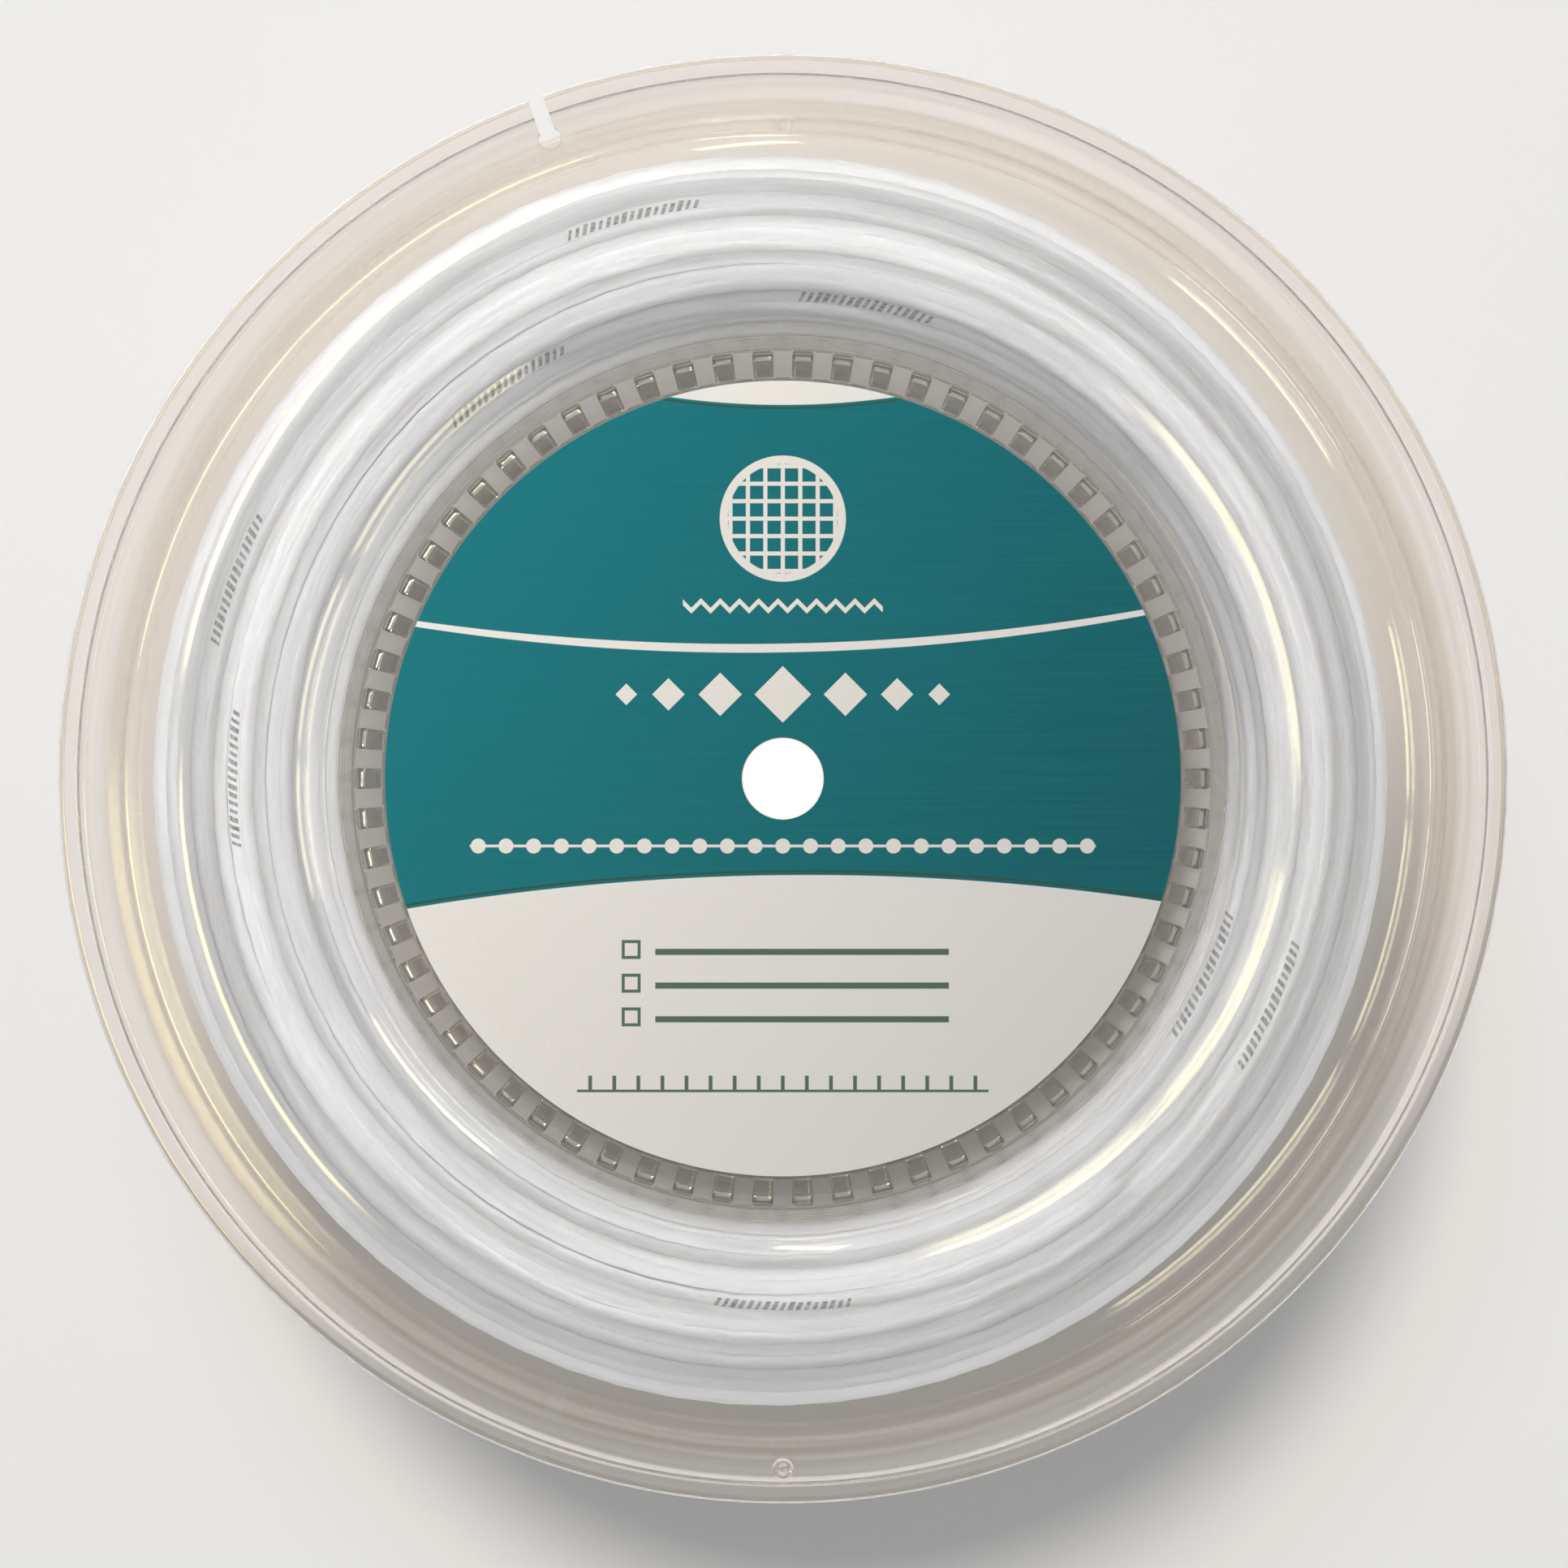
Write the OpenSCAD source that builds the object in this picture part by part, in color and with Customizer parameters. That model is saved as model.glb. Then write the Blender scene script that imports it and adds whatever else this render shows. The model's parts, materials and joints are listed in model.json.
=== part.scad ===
// String reel: a clear spool of two pressed-on flanges and a splined core tube, wound with racket string.
// The reel lies on its rear rim. The axis is Z, the labelled front faces +Z, and the origin is at the middle of the rear rim plane.

/* [Flanges] */
// Outside diameter of both flanges
flange_d = 120; // [116:1:150]
// Overall width of the reel, rim face to rim face
reel_w = 42; // [32:0.5:60]
// Wall thickness of the flanges
wall = 1.6; // [1.2:0.1:2]
// Width of the raised lip around each rim
lip_w = 1.7; // [1.2:0.1:2.4]
// How far the crown of a flange lies below its rim lip
crown_drop = 0.6; // [0.4:0.1:1.2]
// Diameter of the spindle bore
bore_d = 6.6; // [5:0.1:9]
// Outside diameter of the boss around the spindle bore
boss_d = 11.2; // [10:0.2:14]
// Depth of the spindle bore, from the label seat to the end of the boss
boss_len = 6.6; // [4:0.2:9]
// Width of the slot in the rim that holds a string end
slot_w = 1.3; // [1:0.1:2]
// Angle of the slot around the front flange
slot_angle = 110; // [95:1:130]

/* [Core] */
// Outside diameter of the core tube that the string is wound on
core_d = 74; // [62:1:78]
// Wall thickness of the core tube
core_wall = 1.34; // [1.1:0.02:1.8]
// Number of drive teeth on each flange, and of ribs inside the core
teeth = 66; // [48:1:72]
// Radial height of the drive teeth
tooth_h = 2.2; // [1.6:0.1:2.6]
// Length of the drive teeth along the axis
tooth_len = 6; // [4:0.5:8]
// Share of the pitch that a drive tooth fills
tooth_share = 0.52; // [0.46:0.01:0.56]
// Radial clearance between the tooth tips and the core
fit_gap = 0.06; // [0.03:0.01:0.1]

/* [String] */
// Diameter of the string
string_d = 1.2; // [1.05:0.01:1.4]
// Length of string on the reel, in metres
string_len = 110; // [60:5:140]

/* [Label] */
// Diameter of the label
label_d = 66.2; // [30:0.2:66.4]
// Thickness of the label
label_t = 0.2; // [0.15:0.05:0.3]

/* [Hidden] */
$fn = 96;

flange_r = flange_d / 2;
core_r = core_d / 2;
core_in = core_r - core_wall;         // bore of the core tube between its ribs
bore_r = bore_d / 2;
boss_r = boss_d / 2;

// Section of a flange. A recessed label seat rises through a small foot curve and a long shoulder to a flat crown,
// which falls through a second shoulder and a foot curve to the outer band and its raised lip.
foot_r = 1.2;                         // foot curve at the label seat
in_r = 11.6;                          // shoulder between the seat and the crown
in_a = 35;                            // its steepest slope
out_r = 8;                            // shoulder outside the crown
out_a = 30;                           // its steepest slope
band_r = 3;                           // foot curve at the outer band
seat_end = core_r + 0.66;
foot_end = seat_end + foot_r * sin(in_a);
crown_in = foot_end + in_r * sin(in_a);
crown_out = flange_r - 10.8;
slope_end = crown_out + out_r * sin(out_a);
band_in = slope_end + band_r * sin(out_a);
lip_in = flange_r - lip_w;
band_drop = crown_drop + (out_r + band_r) * (1 - cos(out_a));
seat_drop = crown_drop + (in_r + foot_r) * (1 - cos(in_a));
edge = 0.45;                          // rounding of the lip
foot = 0.6;                           // rounding at the foot of the lip

// Depth of a flange's outer face below its rim plane at radius r
function drop(r) =
    r <= seat_end ? seat_drop :
    r <= foot_end ? seat_drop - foot_r + sqrt(max(0, foot_r * foot_r - (r - seat_end) * (r - seat_end))) :
    r <= crown_in ? crown_drop + in_r - sqrt(in_r * in_r - (crown_in - r) * (crown_in - r)) :
    r <= crown_out ? crown_drop :
    r <= slope_end ? crown_drop + out_r - sqrt(out_r * out_r - (r - crown_out) * (r - crown_out)) :
    r <= band_in ? band_drop - band_r + sqrt(max(0, band_r * band_r - (band_in - r) * (band_in - r))) :
    band_drop;

function span(a, b, n) = [for (i = [1 : n]) a + (b - a) * i / n];
face_rs = concat([seat_end], span(seat_end, foot_end, 4), span(foot_end, crown_in, 12), [crown_out],
                 span(crown_out, slope_end, 8), span(slope_end, band_in, 4));
function arc(cx, cy, r, a0, a1, n) = [for (i = [0 : n]) let (a = a0 + (a1 - a0) * i / n) [cx + r * cos(a), cy + r * sin(a)]];
function reversed(v) = [for (i = [len(v) - 1 : -1 : 0]) v[i]];

// Drive teeth and core ribs share one pitch: teeth stand at whole pitches, ribs half way between them.
pitch = 360 / teeth;
tip_r = core_in - fit_gap;
root_r = tip_r - tooth_h;
rib_h = 0.76;
rib_share = 0.34;

// A wheel of wedges, each as wide as its share of the pitch, from radius r0 to r1
module wedges(r0, r1, share, offset_a) {
    polygon([for (i = [0 : teeth - 1], k = [0 : 3])
        let (a = i * pitch + offset_a + (k < 2 ? -1 : 1) * share * pitch / 2, r = (k == 0 || k == 3) ? r0 : r1)
        [r * cos(a), r * sin(a)]]);
}

// Height of the flange faces that bear on the core
seat_low = seat_drop + wall;          // underside of the label seat, below the rim plane
core_low = seat_low;
core_high = reel_w - seat_low;

// Amount of string: its own volume, spread at the share of the space that wound string fills
fill = 0.80;
string_vol = string_len * 1000 * PI * string_d * string_d / 4 / fill;
wind_gap = 0.3;                       // clearance to both flanges
wind_w = reel_w - 2 * (crown_drop + wall + wind_gap) - 1.1;
wind_in = core_r + 0.02;
wind_out = min(flange_r - 4.5, max(crown_in + 1.5, sqrt(wind_in * wind_in + string_vol / (PI * wind_w))));

// One flange, with its rim plane at z = 0 and the spool below it
module flange_body() {
    difference() {
        union() {
            rotate_extrude() polygon(concat(
                [[bore_r, -seat_drop]],
                [for (r = face_rs) [r, -drop(r)]],
                arc(lip_in - foot, -band_drop + foot, foot, -90, 0, 4),
                arc(lip_in + edge, -edge, edge, 180, 90, 4),
                arc(flange_r - edge, -edge, edge, 90, 0, 4),
                arc(flange_r - edge, -band_drop - wall + edge, edge, 0, -90, 4),
                reversed([for (r = face_rs) [r, -drop(r) - wall]]),
                [[boss_r + 0.5, -seat_low], [boss_r, -seat_low - 0.5]],
                [[boss_r, -seat_drop - boss_len + 0.4], [boss_r - 0.4, -seat_drop - boss_len]],
                [[bore_r, -seat_drop - boss_len]]));
            // drive teeth
            intersection() {
                translate([0, 0, -seat_low - tooth_len - 1]) linear_extrude(tooth_len + 1.5)
                    wedges(root_r - 2, tip_r + 2, tooth_share, 0);
                rotate_extrude() polygon([
                    [root_r, -seat_low + 0.4], [tip_r, -seat_low + 0.4],
                    [tip_r, -seat_low - tooth_len + 0.7], [tip_r - 0.5, -seat_low - tooth_len],
                    [root_r + 0.3, -seat_low - tooth_len], [root_r, -seat_low - tooth_len + 0.3]]);
            }
            // moulding gate pip on the outer band
            rotate([0, 0, -90]) translate([flange_r - 2.7, 0, -band_drop - 0.4]) cylinder(r = 0.8, h = 0.7);
        }
        // slot in the rim, for a string end
        rotate([0, 0, slot_angle]) {
            translate([flange_r - 3.4, -slot_w / 2, -band_drop - wall - 1]) cube([5, slot_w, band_drop + wall + 2]);
            translate([flange_r - 3.4, 0, -band_drop - wall - 1]) cylinder(r = slot_w / 2 + 0.3, h = band_drop + wall + 2);
        }
    }
}

// Labelled flange, pressed into the upper end of the core
module front_flange() {
    color([0.90, 0.88, 0.83, 0.45]) translate([0, 0, reel_w]) flange_body();
}

// The same moulding turned over, pressed into the lower end of the core
module rear_flange() {
    color([0.86, 0.84, 0.79, 0.45]) rotate([180, 0, 0]) flange_body();
}

// Extruded core tube with splines along its bore, and a hole for the start of the string
module hub_core() {
    color([0.88, 0.87, 0.84, 0.5]) difference() {
        union() {
            rotate_extrude() polygon([
                [core_in, core_low + 0.3], [core_in + 0.3, core_low], [core_r, core_low],
                [core_r, core_high], [core_in + 0.3, core_high], [core_in, core_high - 0.3]]);
            intersection() {
                translate([0, 0, core_low]) linear_extrude(core_high - core_low)
                    wedges(core_in - rib_h - 1, core_r - 0.3, rib_share, pitch / 2);
                rotate_extrude() polygon([
                    [core_in - rib_h, core_low + 1.5], [core_in, core_low + 0.7], [core_in + 0.4, core_low + 0.7],
                    [core_in + 0.4, core_high - 0.7], [core_in, core_high - 0.7], [core_in - rib_h, core_high - 1.5]]);
            }
        }
        translate([core_in - 2, 0, anchor_z]) rotate([0, 90, 0]) cylinder(r = string_d / 2 + 0.2, h = 5);
    }
}
anchor_z = min(core_low + tooth_len + 4, reel_w / 2);

// Round label on the seat of the front flange
module front_label() {
    color([0.11, 0.47, 0.48]) translate([0, 0, reel_w - seat_drop]) difference() {
        cylinder(r = min(label_d / 2, seat_end - 0.5), h = label_t);
        translate([0, 0, -1]) cylinder(r = bore_r + 0.1, h = label_t + 2);
    }
}

// The wound string, as one solid of its outer shape
wind_rs = [for (r = face_rs) if (r < wind_out - 1.3 && r > wind_in + 0.2) r];
module string_winding() {
    color([0.89, 0.90, 0.91]) rotate_extrude() polygon(concat(
        [[wind_in, seat_low + wind_gap]],
        [for (r = wind_rs) [r, drop(r) + wall + wind_gap]],
        [[wind_out - 1.2, drop(wind_out - 1.2) + wall + wind_gap]],
        [[wind_out - 0.35, drop(wind_out) + wall + wind_gap + 0.35], [wind_out, drop(wind_out) + wall + wind_gap + 1.2]],
        [[wind_out, reel_w - drop(wind_out) - wall - wind_gap - 1.2], [wind_out - 0.35, reel_w - drop(wind_out) - wall - wind_gap - 0.35]],
        [[wind_out - 1.2, reel_w - drop(wind_out - 1.2) - wall - wind_gap]],
        reversed([for (r = wind_rs) [r, reel_w - drop(r) - wall - wind_gap]]),
        [[wind_in, reel_w - seat_low - wind_gap]]));
}

// Start of the string: through the hole in the core, with a stopper knot inside
module string_inner_end() {
    color([0.89, 0.90, 0.91]) union() {
        translate([core_in - 3.2, 0, anchor_z]) rotate([0, 90, 0]) cylinder(r = string_d / 2, h = core_wall + 3.1);
        translate([core_in - 2.5, 0, anchor_z]) sphere(r = string_d * 1.2);
        translate([core_in - 3.4, 0, anchor_z - 3.4]) cylinder(r = string_d / 2, h = 3.6);
    }
}

front_flange();
rear_flange();
hub_core();
front_label();
string_winding();
string_inner_end();
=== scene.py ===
"""Looks for the string reel: smooth clear mouldings with toothed hub rings, 110 m of wound string, a printed label."""

import json
import math

import bmesh
import bpy
import numpy as np
from mathutils import Matrix, Vector

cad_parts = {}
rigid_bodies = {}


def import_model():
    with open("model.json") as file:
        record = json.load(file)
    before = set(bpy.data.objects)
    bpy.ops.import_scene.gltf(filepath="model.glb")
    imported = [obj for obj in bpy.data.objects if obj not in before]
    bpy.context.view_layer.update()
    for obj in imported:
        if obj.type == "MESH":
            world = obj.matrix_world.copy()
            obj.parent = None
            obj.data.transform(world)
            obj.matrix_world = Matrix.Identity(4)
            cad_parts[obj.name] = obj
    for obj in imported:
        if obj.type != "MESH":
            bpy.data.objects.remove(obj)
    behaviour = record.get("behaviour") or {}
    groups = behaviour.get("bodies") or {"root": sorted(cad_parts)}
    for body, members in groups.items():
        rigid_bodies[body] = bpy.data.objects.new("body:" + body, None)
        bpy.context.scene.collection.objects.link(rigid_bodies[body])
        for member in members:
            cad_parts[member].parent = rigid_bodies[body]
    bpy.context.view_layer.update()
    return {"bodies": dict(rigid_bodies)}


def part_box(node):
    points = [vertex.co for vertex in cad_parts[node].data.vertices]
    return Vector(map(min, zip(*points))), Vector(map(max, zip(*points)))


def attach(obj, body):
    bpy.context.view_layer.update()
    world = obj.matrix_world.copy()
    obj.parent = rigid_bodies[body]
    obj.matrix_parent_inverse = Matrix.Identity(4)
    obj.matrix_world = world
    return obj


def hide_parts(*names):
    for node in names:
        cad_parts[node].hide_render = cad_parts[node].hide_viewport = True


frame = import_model()
MM = 0.001

# ---------------------------------------------------------------- sizes, in mm, from the frame


def mm_box(node):
    lo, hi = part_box(node)
    return np.array(lo) * 1000, np.array(hi) * 1000


flange_lo, flange_hi = mm_box("front_flange")
core_lo, core_hi = mm_box("hub_core")
label_lo, label_hi = mm_box("front_label")
wind_lo, wind_hi = mm_box("string_winding")
knot_lo, knot_hi = mm_box("string_inner_end")

FLANGE_R = round(flange_hi[0], 1)          # 60
REEL_W = round(flange_hi[2], 1)            # 42
CORE_R = round(core_hi[0], 2)              # 37
LABEL_R = round(label_hi[0], 2)            # 33.1
WIND_R = round(wind_hi[0], 2)              # 52.43
WALL = 1.6
LIP_W = 1.7
CROWN_DROP = 0.6
BORE_R = 3.3
BOSS_R = 5.6
BOSS_LEN = 6.6
SLOT_W = 1.3
SLOT_ANGLE = 110.0
CORE_WALL = 1.34
TEETH = 66
TOOTH_H = 2.2
TOOTH_LEN = 6.0
TOOTH_SHARE = 0.52
FIT_GAP = 0.06
STRING_D = 1.2
STRING_LEN = 110.0 * 1000
RIB_H, RIB_SHARE = 0.76, 0.34

FOOT_R, IN_R, IN_A = 1.2, 11.6, 35.0
OUT_R, OUT_A, BAND_R = 8.0, 30.0, 3.0
EDGE, FOOT = 0.45, 0.6


def sin(a):
    return math.sin(math.radians(a))


def cos(a):
    return math.cos(math.radians(a))


SEAT_END = CORE_R + 0.66
FOOT_END = SEAT_END + FOOT_R * sin(IN_A)
CROWN_IN = FOOT_END + IN_R * sin(IN_A)
CROWN_OUT = FLANGE_R - 10.8
SLOPE_END = CROWN_OUT + OUT_R * sin(OUT_A)
BAND_IN = SLOPE_END + BAND_R * sin(OUT_A)
LIP_IN = FLANGE_R - LIP_W
BAND_DROP = CROWN_DROP + (OUT_R + BAND_R) * (1 - cos(OUT_A))
SEAT_DROP = CROWN_DROP + (IN_R + FOOT_R) * (1 - cos(IN_A))
SEAT_LOW = SEAT_DROP + WALL
CORE_IN = CORE_R - CORE_WALL
TIP_R = CORE_IN - FIT_GAP
ROOT_R = TIP_R - TOOTH_H


def drop(r):
    """Depth of a flange's outer face below its rim plane."""
    if r <= SEAT_END:
        return SEAT_DROP
    if r <= FOOT_END:
        return SEAT_DROP - FOOT_R + math.sqrt(max(0, FOOT_R**2 - (r - SEAT_END) ** 2))
    if r <= CROWN_IN:
        return CROWN_DROP + IN_R - math.sqrt(IN_R**2 - (CROWN_IN - r) ** 2)
    if r <= CROWN_OUT:
        return CROWN_DROP
    if r <= SLOPE_END:
        return CROWN_DROP + OUT_R - math.sqrt(OUT_R**2 - (r - CROWN_OUT) ** 2)
    if r <= BAND_IN:
        return BAND_DROP - BAND_R + math.sqrt(max(0, BAND_R**2 - (BAND_IN - r) ** 2))
    return BAND_DROP


# ---------------------------------------------------------------- camera, straight down the axis


def make_camera():
    cam = bpy.data.objects.new("Camera", bpy.data.cameras.new("Camera"))
    bpy.context.scene.collection.objects.link(cam)
    cam.data.sensor_width = 36.0
    cam.data.lens = 36.0 * 8790 / 1932
    cam.data.clip_start, cam.data.clip_end = 0.02, 20.0
    cam.location = (0.10 * MM, -0.45 * MM, (REEL_W + 590.0) * MM)
    cam.rotation_euler = (0, 0, 0)
    bpy.context.scene.camera = cam
    return cam


make_camera()

# ---------------------------------------------------------------- node helpers


class Val:
    """A number or vector in a node tree. Arithmetic on it adds nodes."""

    def __init__(self, tree, socket):
        self.tree, self.socket = tree, socket

    def put(self, node, i, value):
        if isinstance(value, Val):
            self.tree.links.new(value.socket, node.inputs[i])
        else:
            node.inputs[i].default_value = value

    def op(self, name, *others, clamp=False):
        n = self.tree.nodes.new("ShaderNodeMath")
        n.operation, n.use_clamp = name, clamp
        for i, v in enumerate((self, *others)):
            self.put(n, i, v)
        return Val(self.tree, n.outputs[0])

    def __add__(self, o):
        return self.op("ADD", o)

    def __sub__(self, o):
        return self.op("SUBTRACT", o)

    def __mul__(self, o):
        return self.op("MULTIPLY", o)

    def __truediv__(self, o):
        return self.op("DIVIDE", o)

    __radd__, __rmul__ = __add__, __mul__

    def __rsub__(self, o):
        n = self.tree.nodes.new("ShaderNodeMath")
        n.operation = "SUBTRACT"
        self.put(n, 0, o)
        self.put(n, 1, self)
        return Val(self.tree, n.outputs[0])

    def abs(self):
        return self.op("ABSOLUTE")

    def sqrt(self):
        return self.op("SQRT")

    def max(self, o):
        return self.op("MAXIMUM", o)

    def min(self, o):
        return self.op("MINIMUM", o)

    def fract(self):
        return self.op("FRACT")

    def inside(self, soft=0.03):
        """1 where this distance is below 0, 0 above, with an edge soft mm wide."""
        return (self * (-1 / soft) + 0.5).op("ADD", 0.0, clamp=True)

    def range(self, a, b, c=0.0, d=1.0):
        n = self.tree.nodes.new("ShaderNodeMapRange")
        self.tree.links.new(self.socket, n.inputs["Value"])
        for k, v in zip(("From Min", "From Max", "To Min", "To Max"), (a, b, c, d)):
            n.inputs[k].default_value = v
        return Val(self.tree, n.outputs[0])


class Mat:
    """A material with a Principled shader and helpers that add nodes."""

    def __init__(self, name):
        self.mat = bpy.data.materials.new(name)
        self.mat.use_nodes = True
        self.tree = self.mat.node_tree
        self.tree.nodes.clear()
        self.out = self.node("ShaderNodeOutputMaterial")
        self.bsdf = self.node("ShaderNodeBsdfPrincipled")
        self.tree.links.new(self.bsdf.outputs[0], self.out.inputs[0])

    def node(self, kind, **props):
        n = self.tree.nodes.new(kind)
        for k, v in props.items():
            setattr(n, k, v)
        return n

    def link(self, a, b):
        self.tree.links.new(a.socket if isinstance(a, Val) else a, b)

    def set(self, **values):
        for k, v in values.items():
            sock = self.bsdf.inputs[k.replace("_", " ")]
            if isinstance(v, Val):
                self.link(v, sock)
            else:
                sock.default_value = v

    def coords(self):
        """Object coordinates in mm: x, y, z."""
        tc = self.node("ShaderNodeTexCoord")
        sep = self.node("ShaderNodeSeparateXYZ")
        self.link(tc.outputs["Object"], sep.inputs[0])
        return [Val(self.tree, sep.outputs[i]) * 1000.0 for i in range(3)]

    def vec(self, x, y, z):
        n = self.node("ShaderNodeCombineXYZ")
        for i, v in enumerate((x, y, z)):
            if isinstance(v, Val):
                self.link(v, n.inputs[i])
            else:
                n.inputs[i].default_value = v
        return Val(self.tree, n.outputs[0])

    def noise(self, where, scale=1.0, detail=3.0, rough=0.5, distortion=0.0):
        n = self.node("ShaderNodeTexNoise")
        self.link(where, n.inputs["Vector"])
        n.inputs["Scale"].default_value = scale
        n.inputs["Detail"].default_value = detail
        n.inputs["Roughness"].default_value = rough
        n.inputs["Distortion"].default_value = distortion
        return Val(self.tree, n.outputs["Fac"])

    def mix(self, fac, a, b, blend="MIX"):
        n = self.node("ShaderNodeMix", data_type="RGBA", blend_type=blend)
        for sock, v in ((n.inputs[0], fac), (n.inputs[6], a), (n.inputs[7], b)):
            if isinstance(v, Val):
                self.link(v, sock)
            else:
                sock.default_value = v if isinstance(v, (int, float)) else (*v, 1.0)
        return Val(self.tree, n.outputs[2])

    def bump(self, height, strength=0.3, distance=0.0001):
        n = self.node("ShaderNodeBump")
        n.inputs["Strength"].default_value = strength
        n.inputs["Distance"].default_value = distance
        self.link(height, n.inputs["Height"])
        self.link(n.outputs[0], self.bsdf.inputs["Normal"])
        return n

    def clear_to_lamps(self, tint, milk=0.0, milk_colour=(0.86, 0.825, 0.775)):
        """Light from lamps and from nearby surfaces passes through instead of being blocked by the clear plastic. A small
        share scatters, as haze."""
        path = self.node("ShaderNodeLightPath")
        surface = self.bsdf.outputs[0]
        if milk:
            haze = self.node("ShaderNodeMixShader")
            haze.inputs[0].default_value = milk
            white = self.node("ShaderNodeBsdfDiffuse")
            if isinstance(milk_colour, Val):
                self.link(milk_colour, white.inputs[0])
            else:
                white.inputs[0].default_value = (*milk_colour, 1.0)
            self.tree.links.new(surface, haze.inputs[1])
            self.tree.links.new(white.outputs[0], haze.inputs[2])
            surface = haze.outputs[0]
        hole = self.node("ShaderNodeBsdfTransparent")
        hole.inputs[0].default_value = (*tint, 1.0)
        for ray in ("Is Diffuse Ray", "Is Shadow Ray"):
            mix = self.node("ShaderNodeMixShader")
            self.tree.links.new(path.outputs[ray], mix.inputs[0])
            self.tree.links.new(surface, mix.inputs[1])
            self.tree.links.new(hole.outputs[0], mix.inputs[2])
            surface = mix.outputs[0]
        self.tree.links.new(surface, self.out.inputs[0])


# ---------------------------------------------------------------- materials


def clear_plastic(name, tint, rough, lamp_tint, swirl=0.35, scuffs=0.6, milk=0.05, streaks=False):
    m = Mat(name)
    x, y, z = m.coords()
    where = m.vec(x, y, z)
    r = (x * x + y * y).sqrt()
    haze = m.noise(where, 0.11, 4.0, 0.55)                       # slow change of haze over the moulding
    flow = m.noise(m.vec(r * 0.9, x * 0.02, y * 0.02), 1.0, 2.0, 0.5)  # rings left by the melt
    scratch = m.noise(m.vec(x * 0.25 + y * 2.6, y * 0.2 - x * 0.3, z), 1.4, 6.0, 0.7)
    colour = m.mix(haze, tuple(c * 0.985 for c in tint), tuple(min(1.0, c * 1.01) for c in tint))
    m.set(Base_Color=colour)
    m.set(Roughness=(haze * 0.05 + scratch * 0.05 * scuffs) + rough)
    m.set(Transmission_Weight=1.0, IOR=1.55)
    m.bump(flow * 0.6 + scratch * 0.25 * scuffs, strength=swirl * 0.12, distance=0.0002)
    if streaks:                                                  # haze in rings, as the melt froze towards the rim
        rings = m.noise(m.vec(r * 1.5, x * 0.014, y * 0.014), 1.0, 3.0, 0.6)
        m.clear_to_lamps(lamp_tint, milk, m.mix(rings.range(0.36, 0.62), (0.56, 0.50, 0.44), (0.93, 0.885, 0.825)))
    else:
        m.clear_to_lamps(lamp_tint, milk)
    return m.mat


def string_material():
    """Braided string: fine slanted filaments, a satin coat, and short rows of fine slanted strokes printed along it."""
    m = Mat("string")
    uv = m.node("ShaderNodeUVMap", uv_map="StringUV")
    sep = m.node("ShaderNodeSeparateXYZ")
    m.link(uv.outputs[0], sep.inputs[0])
    u, v = Val(m.tree, sep.outputs[0]), Val(m.tree, sep.outputs[1])    # u in metres along, v once round
    x, y, z = m.coords()
    along = u * 1000.0                                                # mm
    lean = along * 0.55 + v * 6.0
    lean2 = along * 0.55 - v * 6.0
    a = (lean.fract() - 0.5).abs() * 2.0
    b = (lean2.fract() - 0.5).abs() * 2.0
    weave = a.max(b)
    fuzz = m.noise(m.vec(along * 0.09, v * 7.0, 0.0), 1.0, 4.0, 0.6)
    slow = m.noise(m.vec(along * 0.012, 0.0, 0.0), 1.0, 2.0, 0.5)
    base = m.mix(slow, (0.862, 0.883, 0.915), (0.905, 0.921, 0.947))
    base = m.mix((1.0 - weave) * 0.16, base, (0.74, 0.76, 0.79))
    base = m.mix(fuzz.range(0.45, 0.75, 0.0, 0.25), base, (0.94, 0.945, 0.95))
    # printed strokes: a short row of them around each mark, on the side that faces the nearer flange
    mark_uv = m.node("ShaderNodeUVMap", uv_map="MarkUV")
    msep = m.node("ShaderNodeSeparateXYZ")
    m.link(mark_uv.outputs[0], msep.inputs[0])
    s, turn = Val(m.tree, msep.outputs[0]) * 1000.0, Val(m.tree, msep.outputs[1])
    across = ((v - turn + 0.5).fract() - 0.5) * (math.pi * STRING_D)   # mm from the mark's middle line
    slanted = s + across * 0.45
    cell = (slanted / 0.68 + 200.5).op("FLOOR")
    odd = (cell * 0.731).fract()
    stroke = ((slanted / 0.68 + 200.5).fract() - 0.5).abs() * 0.68 - (odd * 0.09 + 0.14)
    tall = across.abs() - (((cell * 0.417).fract() * 0.14) + 0.36)
    ink = (s.abs() - 5.8).inside(0.1) * stroke.inside(0.07) * tall.inside(0.07)
    worn = m.noise(m.vec(along * 1.3, v * 12.0, 3.0), 1.0, 3.0, 0.6).range(0.3, 0.62, 1.0, 0.55)
    base = m.mix(ink * worn, base, (0.045, 0.045, 0.05))
    m.set(Base_Color=base, Roughness=0.42 + fuzz * 0.12 - ink * 0.1)
    m.set(Specular_IOR_Level=0.4, Coat_Weight=0.08, Coat_Roughness=0.35, Subsurface_Weight=0.95,
          Subsurface_Radius=(1.0, 1.0, 1.0), Subsurface_Scale=0.0060,
          Sheen_Weight=0.08, Sheen_Roughness=0.45)
    m.bsdf.subsurface_method = "BURLEY"
    m.bump(weave * 0.7 + fuzz * 0.3, strength=0.25, distance=0.00006)
    return m.mat


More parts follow.
